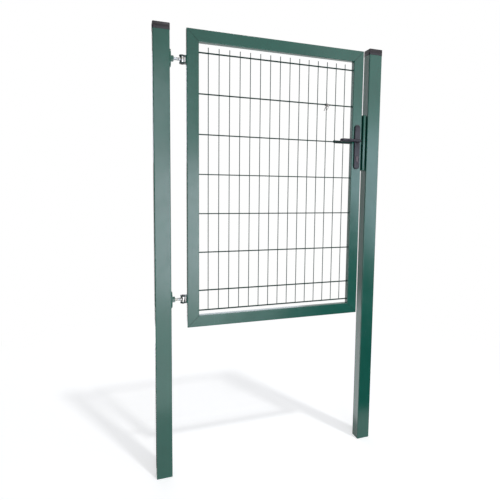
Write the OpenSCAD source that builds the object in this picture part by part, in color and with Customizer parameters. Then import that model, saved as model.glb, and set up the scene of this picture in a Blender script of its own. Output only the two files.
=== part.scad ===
// Single-leaf mesh panel gate between two posts.
// X runs along the leaf from the hinge post to the lock post, Y runs front to back, Z is up.
// The origin is the centre of the hinge post's foot.

/* [Posts] */
// Width of a post along the leaf
post_w = 80; // [60:1:120]
// Depth of a post, front to back
post_d = 60; // [50:1:100]
// Height of the hinge post's tube
post_h = 2281; // [2200:1:2800]
// How much longer the lock post is than the hinge post
lock_post_extra = 10; // [0:1:60]
// Wall of a post
post_wall = 2; // [1.5:0.5:4]
// Outer corner radius of a post
post_r = 4; // [2.5:0.5:6]
// Height of a post cap's skirt
cap_skirt = 28; // [15:1:50]
// Thickness of a cap's crown
cap_crown = 5; // [3:0.5:10]
// How far a cap stands out around its post
cap_lip = 1; // [0.5:0.5:3]

/* [Leaf] */
// Width of the leaf
leaf_w = 988; // [800:1:1300]
// Height of the leaf
leaf_h = 1496; // [1400:2:1900]
// Height of the leaf's underside above the posts' feet
leaf_lift = 784; // [50:2:900]
// Face width of the frame tube
tube_w = 60; // [50:1:80]
// Depth of the frame tube, front to back
tube_d = 30; // [28:1:50]
// Wall of the frame tube
tube_wall = 2; // [1.5:0.5:3]
// Outer corner radius of the frame tube
tube_r = 3; // [2.5:0.5:5]
// Gap between the hinge post and the leaf
hinge_gap = 82; // [75:1:110]
// Gap between the leaf and the lock post
lock_gap = 28; // [27:1:40]

/* [Mesh] */
// Diameter of the upright wires
upright_d = 4; // [3:0.5:6]
// Diameter of the level wires, which lie in pairs in front of and behind the uprights
level_d = 5; // [4:0.5:8]
// Pitch of the upright wires
mesh_x = 55; // [40:1:80]
// Pitch of the level wires
mesh_z = 200; // [100:5:250]
// Height of the short bottom row
short_row = 105; // [50:5:150]
// Gap between the top rail and the first level wire
top_row = 47; // [35:1:100]
// How far the upright wires stand above the first level wire
stub = 28; // [0:1:30]
// Smallest gap between a stile and the first upright wire
side_gap = 28; // [20:1:40]
// How deep crossing wires are fused into each other
weld_sink = 0.5; // [0.2:0.1:1]

/* [Hinges] */
// Distance from a hinge's centre to the leaf's nearer end
hinge_inset = 150; // [120:5:400]
// Distance from the pin's axis to the leaf
pin_offset = 21; // [18:0.5:24]
// Pin diameter
pin_d = 12; // [8:0.5:12]
// Head diameter of a pin
pin_head_d = 18; // [15:0.5:22]
// Head height of a pin
pin_head_h = 3; // [2:0.5:6]
// Bracket plate thickness
bracket_t = 5; // [4:0.5:5]
// Bracket height over both ears
bracket_h = 40; // [38:1:60]
// Bracket depth, front to back
bracket_d = 25; // [24:1:28]
// Length of a bracket from the leaf to its ears' tips
bracket_l = 35; // [30:1:40]
// Eye diameter
eye_d = 24; // [20:0.5:24]
// Thread diameter of an eye bolt
rod_d = 16; // [12:0.5:16]
// How far an eye bolt reaches past the post's face into the post
rod_reach = 45; // [20:1:60]
// Width across the flats of a lock nut
nut_af = 27; // [24:1:30]
// Thickness of a lock nut
nut_h = 14; // [8:0.5:16]
// Height of a post plate
plate_h = 86; // [60:1:120]
// Depth of a post plate, front to back
plate_d = 50; // [40:1:52]
// Thickness of a post plate
plate_t = 6; // [4:0.5:8]
// Smallest gap between a cap's skirt and the upper post plate
plate_clear = 20; // [5:1:60]

/* [Lock] */
// Height of the lever's axis above the leaf's underside
lever_z = 996; // [700:2:1100]
// Distance from the leaf's edge to the lever's axis
backset = 30; // [30:0.5:35]
// Distance from the lever's axis down to the cylinder
lock_centres = 92; // [85:0.5:95]
// Handle plate length
hplate_l = 248; // [230:1:280]
// Handle plate width
hplate_w = 34; // [30:1:40]
// Handle plate thickness
hplate_t = 9; // [6:0.5:12]
// How far the plate's centre lies below the lever's axis
hplate_drop = 33; // [20:1:45]
// Lever length from its axis to its tip
lever_l = 120; // [90:1:140]
// Diameter of a lever's round bar
lever_d = 17; // [14:0.5:20]
// Centre-line radius of a lever's bends
lever_bend = 11; // [10.5:0.5:14]
// Gap between a plate and its lever
lever_gap = 20; // [16:1:50]
// Collar diameter of a lever
collar_d = 21; // [20.5:0.5:24]
// How far a lever's collar stands out of its plate
collar_out = 3; // [1:0.5:6]
// Width across the flats of the square spindle
spindle_af = 8; // [6:0.5:8]
// How deep the spindle sits in each lever
spindle_grip = 18; // [12:1:24]
// Plug diameter of the lock cylinder
cylinder_d = 17; // [16:0.5:17]
// Width of the lock cylinder's lower body
cylinder_w = 10; // [9:0.5:10]
// Height of the lock cylinder
cylinder_h = 33; // [30:0.5:34]
// How far the cylinder stands out of each plate
cylinder_out = 1.5; // [0.5:0.5:3]
// Height of the lock's forend
forend_l = 230; // [220:1:260]
// Width of the lock's forend
forend_w = 22; // [20:0.5:24]
// Thickness of the lock's forend
forend_t = 3; // [2:0.5:4]
// Thickness of the lock case
case_t = 16; // [14:0.5:20]
// Height of the lock case
case_h = 190; // [175:1:210]
// Depth of the lock case behind its forend
case_d = 46; // [42:0.5:48]
// Height of the latch bolt
latch_h = 20; // [14:0.5:24]
// Thickness of the latch bolt
latch_t = 12; // [8:0.5:13]
// Length of the latch bolt
latch_l = 18; // [14:0.5:20]

/* [Keeper] */
// Height of the keeper
keeper_h = 312; // [240:1:400]
// How far the keeper's middle lies below the latch
keeper_drop = 7.5; // [0:0.5:40]
// Sheet thickness of the keeper
keeper_t = 3; // [2:0.5:4]
// Width of the keeper's front flange
flange_w = 14; // [10:0.5:16]
// How far the keeper clears the leaf
keeper_clear = 5.5; // [4:0.5:7]
// How far the keeper's front is set back from the post's front
keeper_setback = 6; // [4:0.5:10]
// How far the keeper's side on the post starts behind the keeper's front
side_setback = 14; // [8:0.5:18]
// How far the stop overlaps the leaf's edge
stop_overlap = 7; // [4:0.5:8]
// Play between the closed leaf and its stop
stop_clear = 0.3; // [0.2:0.1:1]

/* [Fits] */
// Radial running clearance of a hinge pin in its eye
run_fit = 0.08; // [0.02:0.01:0.1]
// Clearance between an eye and each ear of its bracket
ear_clear = 1; // [0.5:0.5:2]
// Clearance around fixed pieces that pass through a hole
slip_fit = 0.2; // [0.1:0.05:0.5]
// Clearance around the turning spindle and collars
turn_fit = 0.4; // [0.2:0.1:0.5]
// Clearance around the latch bolt in the keeper's slot
latch_clear = 4; // [3:0.5:6]

/* [Hidden] */
eps = 0.01;

leaf_x = post_w / 2 + hinge_gap;
leaf_right = leaf_x + leaf_w;
lock_face = leaf_right + lock_gap;
lock_post_x = lock_face + post_w / 2;
lock_post_h = post_h + lock_post_extra;
leaf_top = leaf_lift + leaf_h;
// near the leaf's top, and below the post's cap where the leaf is the taller
upper_hinge_z = min(leaf_top - hinge_inset, post_h - cap_skirt - plate_clear - plate_h / 2);
lower_hinge_z = leaf_lift + hinge_inset;
pin_x = leaf_x - pin_offset;
plate_face = post_w / 2 + plate_t;
ear_gap = bracket_h - 2 * bracket_t;
eye_h = ear_gap - 2 * ear_clear;
lock_x = leaf_right - backset;
axis_z = leaf_lift + lever_z;
key_z = axis_z - lock_centres;
lock_mid_z = (axis_z + key_z) / 2;
hplate_face = tube_d / 2 + hplate_t;
lever_y = hplate_face + lever_gap + lever_d / 2;
hplate_z = axis_z - hplate_drop;
forend_x = leaf_right - forend_t;
strike_x = leaf_right + keeper_clear;
keeper_front = keeper_setback - post_d / 2;
side_front = keeper_front + side_setback;
stop_y = tube_d / 2 + stop_clear;
spindle_hole_d = spindle_af * sqrt(2) + 2 * turn_fit;
keeper_z = axis_z - keeper_drop - keeper_h / 2;
GREEN = [0.10, 0.33, 0.27];
ZINC = [0.72, 0.73, 0.74];
DARK = [0.27, 0.25, 0.27];

// Rounded rectangle, centred, with exact arcs
module round_rect(w, d, r) {
    square([w - 2 * r, d], center = true);
    square([w, d - 2 * r], center = true);
    for (sx = [-1, 1], sy = [-1, 1])
        translate([sx * (w / 2 - r), sy * (d / 2 - r)])
            circle(r = r, $fn = 32);
}

// Section of a tube with rounded corners
module tube_section(w, d, wall, r) {
    difference() {
        round_rect(w, d, r);
        round_rect(w - 2 * wall, d - 2 * wall, max(r - wall, 0.5));
    }
}

// Upright strip with fully round ends, centred
module stadium(w, h) {
    square([w, h - w], center = true);
    for (end = [-1, 1])
        translate([0, end * (h - w) / 2])
            circle(d = w, $fn = 96);
}

// Cylinder along Y, from y0 to y1
module bar_y(d, y0, y1) {
    translate([0, y0, 0])
        rotate([-90, 0, 0])
            cylinder(d = d, h = y1 - y0, $fn = 64);
}

// ---- Posts ----

module post_tube(x, height) {
    translate([x, 0, 0])
        linear_extrude(height)
            tube_section(post_w, post_d, post_wall, post_r);
}

module post_cap(x, height) {
    color("dimgray")
        translate([x, 0, height - cap_skirt])
            difference() {
                linear_extrude(cap_skirt + cap_crown)
                    round_rect(post_w + 2 * cap_lip, post_d + 2 * cap_lip, post_r + cap_lip);
                translate([0, 0, -eps])
                    linear_extrude(cap_skirt + eps)
                        round_rect(post_w, post_d, post_r);
            }
}

module hinge_post() {
    color(GREEN)
        difference() {
            post_tube(0, post_h);
            for (z = [upper_hinge_z, lower_hinge_z])
                translate([post_w / 2 - post_wall - 1, 0, z])
                    rotate([0, 90, 0])
                        cylinder(d = rod_d + 2 * slip_fit, h = post_wall + 2, $fn = 48);
        }
}

module lock_post() {
    color(GREEN)
        post_tube(lock_post_x, lock_post_h);
}

// ---- Leaf frame ----

// One mitred side: a tube along Z of the given length with 45 degree ends,
// whose outer face lies at x = 0 and whose inner face lies at x = tube_w
module mitred_side(length) {
    difference() {
        translate([tube_w / 2, 0, 0])
            linear_extrude(length)
                tube_section(tube_w, tube_d, tube_wall, tube_r);
        for (end = [0, 1])
            translate([0, 0, end * length])
                mirror([0, 0, end])
                    rotate([90, 0, 0])
                        linear_extrude(tube_d + 2, center = true)
                            polygon([[0, 0], [tube_w + 1, tube_w + 1], [tube_w + 1, -1], [-1, -1]]);
    }
}

module hinge_stile() {
    color(GREEN)
        translate([leaf_x, 0, leaf_lift])
            mitred_side(leaf_h);
}

module lock_stile() {
    color(GREEN)
        difference() {
            translate([leaf_right, 0, leaf_lift])
                mirror([1, 0, 0])
                    mitred_side(leaf_h);
            // cut-out for the forend
            translate([leaf_right - tube_wall - 1, 0, lock_mid_z])
                translate([0, -forend_w / 2 - slip_fit, -forend_l / 2 - slip_fit])
                    cube([tube_wall + 2, forend_w + 2 * slip_fit, forend_l + 2 * slip_fit]);
            // holes for the spindle and the cylinder
            translate([lock_x, 0, axis_z])
                bar_y(spindle_hole_d, -tube_d, tube_d);
            translate([lock_x, 0, key_z])
                cylinder_profile(2 * tube_d, slip_fit);
        }
}

module bottom_rail() {
    color(GREEN)
        translate([leaf_right, 0, leaf_lift])
            rotate([0, -90, 0])
                mitred_side(leaf_w);
}

module top_rail() {
    color(GREEN)
        translate([leaf_x, 0, leaf_top])
            rotate([0, 90, 0])
                mitred_side(leaf_w);
}

// ---- Mesh ----

inner_x0 = leaf_x + tube_w;
inner_w = leaf_w - 2 * tube_w;
inner_z0 = leaf_lift + tube_w;
inner_h = leaf_h - 2 * tube_w;
first_level = leaf_top - tube_w - top_row;
upright_count = floor((inner_w - 2 * side_gap) / mesh_x) + 1;
first_upright = inner_x0 + (inner_w - (upright_count - 1) * mesh_x) / 2;
full_rows = floor((inner_h - top_row - short_row - level_d) / mesh_z);
last_full = first_level - full_rows * mesh_z;
last_level = last_full - short_row;
level_y = (upright_d + level_d) / 2 - weld_sink;
level_zs = [for (i = [0 : full_rows]) first_level - i * mesh_z, last_level];

module mesh_panel() {
    color([0.20, 0.28, 0.25])
        union() {
            for (i = [0 : upright_count - 1])
                translate([first_upright + i * mesh_x, 0, last_level - level_d / 2])
                    rotate(22.5)
                        cylinder(d = upright_d, h = first_level - last_level + stub + level_d / 2, $fn = 8);
            for (z = level_zs, side = [-1, 1])
                translate([inner_x0, side * level_y, z])
                    rotate([0, 90, 0])
                        rotate(22.5)
                            cylinder(d = level_d, h = inner_w, $fn = 8);
        }
}

// ---- Hinges ----

module hinge_plate(z) {
    color(GREEN)
        difference() {
            translate([post_w / 2, 0, z])
                rotate([90, 0, 90])
                    linear_extrude(plate_t)
                        stadium(plate_d, plate_h);
            translate([post_w / 2 - 1, 0, z])
                rotate([0, 90, 0])
                    cylinder(d = rod_d + 2 * slip_fit, h = plate_t + 2, $fn = 48);
        }
}

module hinge_nut(z) {
    color(GREEN)
        translate([plate_face, 0, z])
            rotate([0, 90, 0])
                difference() {
                    cylinder(d = nut_af / cos(30), h = nut_h, $fn = 6);
                    translate([0, 0, -1])
                        cylinder(d = rod_d + 2 * slip_fit, h = nut_h + 2, $fn = 48);
                }
}

module eye_bolt(z) {
    color(ZINC)
        translate([pin_x, 0, z])
            difference() {
                union() {
                    cylinder(d = eye_d, h = eye_h, center = true, $fn = 64);
                    translate([post_w / 2 - rod_reach - pin_x, 0, 0])
                        rotate([0, 90, 0])
                            cylinder(d = rod_d, h = pin_x - post_w / 2 + rod_reach, $fn = 48);
                }
                cylinder(d = pin_d + 2 * run_fit, h = eye_h + 2, center = true, $fn = 64);
            }
}

module hinge_bracket(z) {
    color(GREEN)
        translate([leaf_x, 0, z])
            difference() {
                translate([-bracket_l, -bracket_d / 2, -bracket_h / 2])
                    cube([bracket_l, bracket_d, bracket_h]);
                translate([-bracket_l - 1, -bracket_d / 2 - 1, -ear_gap / 2])
                    cube([bracket_l - bracket_t + 1, bracket_d + 2, ear_gap]);
                translate([-pin_offset, 0, 0])
                    cylinder(d = pin_d + 2 * slip_fit, h = bracket_h + 2, center = true, $fn = 64);
            }
}

module hinge_pin(z) {
    color(ZINC)
        translate([pin_x, 0, z])
            union() {
                cylinder(d = pin_d, h = bracket_h + 2 * pin_head_h, center = true, $fn = 64);
                for (side = [-1, 1])
                    translate([0, 0, side * (bracket_h + pin_head_h) / 2])
                        cylinder(d = pin_head_d, h = pin_head_h, center = true, $fn = 64);
            }
}

// ---- Lock ----

// Euro profile along Y, centred on the plug's axis, grown by a clearance
module cylinder_profile(length, grow) {
    bar_y(cylinder_d + 2 * grow, -length / 2, length / 2);
    drop = cylinder_h - cylinder_d / 2 - cylinder_w / 2;
    translate([-cylinder_w / 2 - grow, -length / 2, -drop])
        cube([cylinder_w + 2 * grow, length, drop]);
    translate([0, 0, -drop])
        bar_y(cylinder_w + 2 * grow, -length / 2, length / 2);
}

module lock_cylinder() {
    color(ZINC)
        translate([lock_x, 0, key_z])
            difference() {
                cylinder_profile(2 * (hplate_face + cylinder_out), 0);
                for (side = [-1, 1])
                    translate([0, side * (hplate_face + cylinder_out), 0])
                        cube([1.5, 8, 9], center = true);
            }
}

// A flat plate with fully round ends
module handle_plate(side) {
    color(DARK)
        difference() {
            translate([lock_x, side * (tube_d + hplate_t) / 2, hplate_z])
                rotate([90, 0, 0])
                    linear_extrude(hplate_t, center = true)
                        stadium(hplate_w, hplate_l);
            translate([lock_x, 0, axis_z])
                bar_y(collar_d + 2 * turn_fit, -3 * tube_d, 3 * tube_d);
            translate([lock_x, 0, key_z])
                cylinder_profile(6 * tube_d, slip_fit);
        }
}

module lock_case() {
    color(ZINC)
        difference() {
            union() {
                translate([forend_x - case_d, -case_t / 2, lock_mid_z - case_h / 2])
                    cube([case_d + eps, case_t, case_h]);
                translate([forend_x, -forend_w / 2, lock_mid_z - forend_l / 2])
                    cube([forend_t, forend_w, forend_l]);
            }
            translate([lock_x, 0, axis_z])
                bar_y(spindle_hole_d, -case_t, case_t);
            translate([lock_x, 0, key_z])
                cylinder_profile(2 * case_t, slip_fit);
            translate([leaf_right - latch_l - slip_fit, -latch_t / 2 - slip_fit,
                       axis_z - latch_h / 2 - slip_fit])
                cube([latch_l + slip_fit + 1, latch_t + 2 * slip_fit, latch_h + 2 * slip_fit]);
        }
}

// The latch drawn back flush with the forend, its slanted face towards the stop
module latch_bolt() {
    color(ZINC)
        translate([leaf_right - latch_l, 0, axis_z - latch_h / 2])
            linear_extrude(latch_h)
                polygon([[0, -latch_t / 2], [latch_l, -latch_t / 2], [latch_l, -latch_t / 2 + 2],
                         [latch_l - latch_t + 2, latch_t / 2], [0, latch_t / 2]]);
}

// A round bar bent twice: out of its collar, along the leaf and back towards the plate
module lever(side) {
    tip = lever_l - lever_d / 2;
    color(DARK)
        translate([lock_x, 0, axis_z])
            rotate([side > 0 ? 0 : 180, 0, 0])
                difference() {
                    union() {
                        bar_y(collar_d, tube_d / 2 + turn_fit, hplate_face + collar_out);
                        bar_y(lever_d, hplate_face, lever_y - lever_bend);
                        translate([-lever_bend, lever_y - lever_bend, 0])
                            lever_corner();
                        translate([-tip + lever_bend, lever_y, 0])
                            rotate([0, 90, 0])
                                cylinder(d = lever_d, h = tip - 2 * lever_bend, $fn = 64);
                        translate([-tip + lever_bend, lever_y - lever_bend, 0])
                            rotate(90)
                                lever_corner();
                        translate([-tip, lever_y - lever_bend, 0])
                            sphere(d = lever_d, $fn = 64);
                    }
                    spindle_bar(slip_fit);
                }
}

module lever_corner() {
    rotate_extrude(angle = 90, $fn = 96)
        translate([lever_bend, 0])
            circle(d = lever_d, $fn = 64);
}

// Square bar through the lock, grown by a clearance
module spindle_bar(grow) {
    side = spindle_af + 2 * grow;
    reach = tube_d / 2 + turn_fit + spindle_grip + grow;
    translate([-side / 2, -reach, -side / 2])
        cube([side, 2 * reach, side]);
}

module lever_spindle() {
    color(ZINC)
        translate([lock_x, 0, axis_z])
            spindle_bar(0);
}

// ---- Keeper ----

// Upright sheet of the keeper's height, from one corner of its section
module keeper_sheet(x, y, w, d) {
    translate([x, y, keeper_z])
        cube([w, d, keeper_h]);
}

// Side on the post, and the stop behind the leaf
module keeper_back() {
    color(GREEN)
        union() {
            keeper_sheet(lock_face - keeper_t, side_front, keeper_t, stop_y + keeper_t - side_front);
            keeper_sheet(leaf_right - stop_overlap, stop_y, lock_face - leaf_right + stop_overlap, keeper_t);
        }
}

// Slotted wall for the latch beside the leaf, and the front flange towards the post
module strike_plate() {
    slot_h = latch_h + 2 * latch_clear;
    slot_t = latch_t + 2 * latch_clear;
    color(GREEN)
        difference() {
            union() {
                keeper_sheet(strike_x, keeper_front, keeper_t, stop_y - keeper_front);
                keeper_sheet(strike_x, keeper_front, flange_w, keeper_t);
            }
            translate([strike_x - 1, -slot_t / 2, axis_z - slot_h / 2])
                cube([keeper_t + 2, slot_t, slot_h]);
        }
}

hinge_post();
post_cap(0, post_h);  // hinge_post_cap
lock_post();
post_cap(lock_post_x, lock_post_h);  // lock_post_cap
hinge_plate(upper_hinge_z);  // upper_hinge_plate
hinge_plate(lower_hinge_z);  // lower_hinge_plate
hinge_nut(upper_hinge_z);  // upper_hinge_nut
hinge_nut(lower_hinge_z);  // lower_hinge_nut
eye_bolt(upper_hinge_z);  // upper_eye_bolt
eye_bolt(lower_hinge_z);  // lower_eye_bolt
keeper_back();
strike_plate();
hinge_stile();
lock_stile();
top_rail();
bottom_rail();
mesh_panel();
hinge_bracket(upper_hinge_z);  // upper_hinge_bracket
hinge_bracket(lower_hinge_z);  // lower_hinge_bracket
hinge_pin(upper_hinge_z);  // upper_hinge_pin
hinge_pin(lower_hinge_z);  // lower_hinge_pin
handle_plate(-1);  // front_handle_plate
handle_plate(1);  // back_handle_plate
lock_case();
latch_bolt();
lock_cylinder();
lever(-1);  // front_lever
lever(1);  // back_lever
lever_spindle();
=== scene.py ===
import math

import bmesh
import bpy
from mathutils import Matrix, Vector


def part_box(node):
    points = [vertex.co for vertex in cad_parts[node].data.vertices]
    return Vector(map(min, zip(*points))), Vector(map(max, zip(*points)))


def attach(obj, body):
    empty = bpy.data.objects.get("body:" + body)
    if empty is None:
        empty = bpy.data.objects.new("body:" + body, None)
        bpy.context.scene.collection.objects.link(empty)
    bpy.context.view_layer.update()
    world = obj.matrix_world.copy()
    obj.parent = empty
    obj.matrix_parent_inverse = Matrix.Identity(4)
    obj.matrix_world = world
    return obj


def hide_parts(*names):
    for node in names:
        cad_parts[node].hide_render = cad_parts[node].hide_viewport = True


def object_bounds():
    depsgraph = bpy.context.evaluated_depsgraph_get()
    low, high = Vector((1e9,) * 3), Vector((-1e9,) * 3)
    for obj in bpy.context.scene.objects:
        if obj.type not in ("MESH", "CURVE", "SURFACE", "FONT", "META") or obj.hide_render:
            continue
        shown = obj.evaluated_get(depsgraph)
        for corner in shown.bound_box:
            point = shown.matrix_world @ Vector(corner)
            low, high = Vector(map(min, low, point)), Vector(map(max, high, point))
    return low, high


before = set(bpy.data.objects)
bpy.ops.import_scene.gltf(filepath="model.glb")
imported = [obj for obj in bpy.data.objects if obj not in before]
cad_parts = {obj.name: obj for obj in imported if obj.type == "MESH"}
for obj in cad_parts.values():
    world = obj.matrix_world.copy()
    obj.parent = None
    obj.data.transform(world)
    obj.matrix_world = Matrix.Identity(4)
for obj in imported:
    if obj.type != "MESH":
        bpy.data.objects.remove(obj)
cadLow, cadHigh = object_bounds()
mm = 0.001
axisX, axisY, axisZ = Vector((1, 0, 0)), Vector((0, 1, 0)), Vector((0, 0, 1))
print("frame loaded:", len(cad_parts), "nodes")


# node trees, written as sums
class Value:  # one output socket, which can stand in a sum
    def __init__(self, recipe, socket):
        self.recipe = recipe
        self.socket = socket

    def __add__(self, other):
        return self.recipe.maths("ADD", self, other)

    def __sub__(self, other):
        return self.recipe.maths("SUBTRACT", self, other)

    def __rsub__(self, other):
        return self.recipe.maths("SUBTRACT", other, self)

    def __mul__(self, other):
        return self.recipe.maths("MULTIPLY", self, other)

    def __truediv__(self, other):
        return self.recipe.maths("DIVIDE", self, other)

    __radd__, __rmul__ = __add__, __mul__

    def output(self, name):  # another output of the same node
        return Value(self.recipe, self.socket.node.outputs[name])


class Recipe:  # a node tree, for a finish or for a shape
    def __init__(self, tree, material=None):
        self.tree = tree
        self.material = material

    def feed(self, target, value):
        for each in value if isinstance(value, list) else [value]:
            if isinstance(each, Value):
                self.tree.links.new(each.socket, target)
            else:
                target.default_value = each

    def add(self, kind, inputs=None, settings=None, out=0):  # settings are made first
        node = self.tree.nodes.new(kind)
        for name, value in (settings or {}).items():
            setattr(node, name, value)
        for name, value in (inputs or {}).items():
            self.feed(node.inputs[name], value)
        return Value(self, node.outputs[out]) if node.outputs else None

    def maths(self, operation, first, second=0.0):
        return self.add("ShaderNodeMath", {0: first, 1: second}, {"operation": operation})

    def mix(self, share, first, second):  # colours, linear
        pair = [c if isinstance(c, Value) else (*c, 1.0) for c in (first, second)]
        return self.add("ShaderNodeMix", {0: share, 6: pair[0], 7: pair[1]}, {"data_type": "RGBA"}, 2)

    def noise(self, spot, size, detail=2.0, rough=0.5):  # size in metres
        return self.add("ShaderNodeTexNoise",
                        {"Vector": spot, "Scale": 1 / size, "Detail": detail, "Roughness": rough})

    def ease(self, value, low, high):  # 0 below low, 1 above high
        return self.add("ShaderNodeMapRange", {"Value": value, "From Min": low, "From Max": high},
                        {"interpolation_type": "SMOOTHSTEP"})

    def patches(self, spot, size, low, high, detail=2.0, rough=0.5):
        return self.ease(self.noise(spot, size, detail, rough), low, high)

    def streaks(self, spot, scale, detail=2.0):
        return self.noise(self.add("ShaderNodeMapping", {"Vector": spot, "Scale": scale}), 1.0, detail)


def newMaterial(name, fixed):  # fixed: what is the same all over the surface
    material = bpy.data.materials.new(name)
    material.use_nodes = True
    for socket, value in fixed.items():
        material.node_tree.nodes["Principled BSDF"].inputs[socket].default_value = value
    return material


def newFinish(name, gloss=0.5, metallic=0.0):
    material = newMaterial(name, {"Specular IOR Level": gloss, "Metallic": metallic})
    recipe = Recipe(material.node_tree, material)
    return recipe, recipe.add("ShaderNodeTexCoord", out=3)


def varied(recipe, colour, roughness, relief, depth):  # adds what changes over the surface
    shader = recipe.tree.nodes["Principled BSDF"]
    recipe.feed(shader.inputs["Base Color"], colour)
    recipe.feed(shader.inputs["Roughness"], roughness)
    recipe.feed(shader.inputs["Normal"], recipe.add(
        "ShaderNodeBump", {"Height": relief, "Strength": 1.0, "Distance": depth}))
    return recipe.material


# finishes
paintLook = {
    "deep": (0.0038, 0.074, 0.051),
    "pale": (0.0070, 0.088, 0.062),
    "rubbed": (0.022, 0.120, 0.092),
    "gloss": 0.62,
    "roughness": 0.20,
    "peelDepth": 0.055 * mm,
}
# a darker copy of the green paint: painted shade for the hinge brackets and the mitre lines
shadedLook = dict(paintLook, deep=(0.0025, 0.026, 0.020), pale=(0.0040, 0.036, 0.028),
                rubbed=(0.012, 0.055, 0.042), gloss=0.35)


def makePaint(name="greenPaint", look=paintLook):  # powder coat with a fine orange peel
    recipe, spot = newFinish(name, look["gloss"])
    cloud = recipe.patches(spot, 0.22, 0.35, 0.65, 3.0)
    fleck = recipe.patches(spot, 2.2 * mm, 0.40, 0.62)
    colour = recipe.mix(cloud * 0.75 + fleck * 0.25, look["deep"], look["pale"])
    streak = recipe.ease(recipe.streaks(spot, (700, 700, 26)), 0.66, 0.74)
    rubbed = streak * recipe.patches(spot, 0.12, 0.55, 0.70)
    handled = recipe.patches(spot, 0.045, 0.40, 0.70, 4.0, 0.6)
    peel = recipe.noise(spot, 3.2 * mm, 1.5) + rubbed * 0.3
    return varied(recipe, recipe.mix(rubbed * 0.6, colour, look["rubbed"]),
                  handled * 0.05 + rubbed * 0.12 + look["roughness"], peel, look["peelDepth"])


wireLook = {
    "deep": (0.014, 0.040, 0.032),
    "pale": (0.024, 0.058, 0.049),
    "gloss": 0.01,
    "roughness": 0.50,
    "runDepth": 0.05 * mm,
}


def makeWireCoat():  # thicker coat that ran a little along each wire
    recipe, spot = newFinish("wireCoat", wireLook["gloss"])
    run = recipe.noise(spot, 9 * mm, 3.0)
    dull = recipe.patches(spot, 0.06, 0.35, 0.70)
    return varied(recipe, recipe.mix(recipe.ease(run, 0.35, 0.65), wireLook["deep"], wireLook["pale"]),
                  dull * 0.10 + wireLook["roughness"], run, wireLook["runDepth"])


capLook = {
    "deep": (0.014, 0.011, 0.013),
    "pale": (0.026, 0.021, 0.025),
    "scuff": (0.10, 0.09, 0.09),
    "gloss": 0.35,
    "roughness": 0.42,
    "grainSize": 0.9 * mm,
    "grainDepth": 0.06 * mm,
}


def makeCapPlastic():  # moulded plastic with a fine leather-like grain
    recipe, spot = newFinish("capPlastic", capLook["gloss"])
    grain = recipe.add("ShaderNodeTexVoronoi", {"Vector": spot, "Scale": 1 / capLook["grainSize"]},
                       {"feature": "SMOOTH_F1"})
    cloud = recipe.patches(spot, 0.02, 0.35, 0.65, 3.0)
    scuff = recipe.ease(recipe.streaks(spot, (900, 160, 160)), 0.66, 0.76)
    colour = recipe.mix(cloud, capLook["deep"], capLook["pale"])
    return varied(recipe, recipe.mix(scuff * 0.35, colour, capLook["scuff"]),
                  cloud * 0.10 + scuff * 0.10 + capLook["roughness"], grain, capLook["grainDepth"])


zincLook = {
    "blue": (0.50, 0.52, 0.55),
    "warm": (0.55, 0.53, 0.48),
    "stain": (0.26, 0.25, 0.24),
    "roughness": 0.24,
    "lineDepth": 0.02 * mm,
}


def makeZinc(name="zincPlate", run=(60, 60, 900)):  # bright plating over drawn or turned steel
    recipe, spot = newFinish(name, metallic=1.0)
    tint = recipe.patches(spot, 0.014, 0.35, 0.65, 3.0)
    stain = recipe.patches(spot, 0.006, 0.58, 0.74, 4.0, 0.65)
    lines = recipe.streaks(spot, run, 3.0)
    colour = recipe.mix(tint, zincLook["blue"], zincLook["warm"])
    return varied(recipe, recipe.mix(stain * 0.5, colour, zincLook["stain"]),
                  lines * 0.10 + stain * 0.16 + zincLook["roughness"], lines, zincLook["lineDepth"])


handleLook = {
    "deep": (0.022, 0.020, 0.028),
    "pale": (0.036, 0.034, 0.044),
    "polished": (0.085, 0.080, 0.092),
    "gloss": 0.28,
    "roughness": 0.30,
    "grainDepth": 0.03 * mm,
}


def makeHandleCoat():  # dark satin coat on cast aluminium, polished a little by hands
    recipe, spot = newFinish("handleCoat", handleLook["gloss"])
    cloud = recipe.patches(spot, 0.03, 0.35, 0.65, 3.0)
    grain = recipe.noise(spot, 1.1 * mm, 2.0)
    worn = recipe.patches(spot, 0.012, 0.60, 0.74, 4.0, 0.6)
    colour = recipe.mix(cloud, handleLook["deep"], handleLook["pale"])
    return varied(recipe, recipe.mix(worn * 0.3, colour, handleLook["polished"]),
                  grain * 0.08 - worn * 0.08 + handleLook["roughness"], grain, handleLook["grainDepth"])


cylinderLook = {
    "bright": (0.10, 0.082, 0.088),
    "dull": (0.050, 0.041, 0.045),
    "wear": (0.35, 0.70),
    "roughness": 0.30,
    "swing": 0.14,
    "depth": 0.015 * mm,
}
tieLook = {
    "bright": (0.30, 0.27, 0.25),
    "dull": (0.14, 0.125, 0.115),
    "wear": (0.40, 0.62),
    "roughness": 0.30,
    "swing": 0.25,
    "depth": 0.03 * mm,
}


def makeWornMetal(name, metallic, look, pattern):  # pattern: where it is worn, from a recipe and a spot
    recipe, spot = newFinish(name, metallic=metallic)
    worn = pattern(recipe, spot)
    return varied(recipe, recipe.mix(recipe.ease(worn, *look["wear"]), look["bright"], look["dull"]),
                  worn * look["swing"] + look["roughness"], worn, look["depth"])


greenPaint = makePaint()
deepPaint = makePaint("deepPaint", shadedLook)  # the green paint made darker, as painted shade in seams and on small folded pieces
wireCoat = makeWireCoat()
capPlastic = makeCapPlastic()
zincPlate = makeZinc()
zincSheet = makeZinc("zincSheet", (60, 900, 60))
handleCoat = makeHandleCoat()
darkPlating = makeWornMetal("darkPlating", 1.0, cylinderLook,  # dark metal, brushed up and down
                            lambda recipe, spot: recipe.streaks(spot, (2400, 60, 130), 3.0))
annealedWire = makeWornMetal("annealedWire", 0.25, tieLook,
                             lambda recipe, spot: recipe.noise(spot, 4 * mm, 4.0, 0.6))
print("finishes made")


# mesh helpers
def plainObject(name, data):
    made = bpy.data.objects.new(name, data)
    bpy.context.scene.collection.objects.link(made)
    return made


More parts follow.
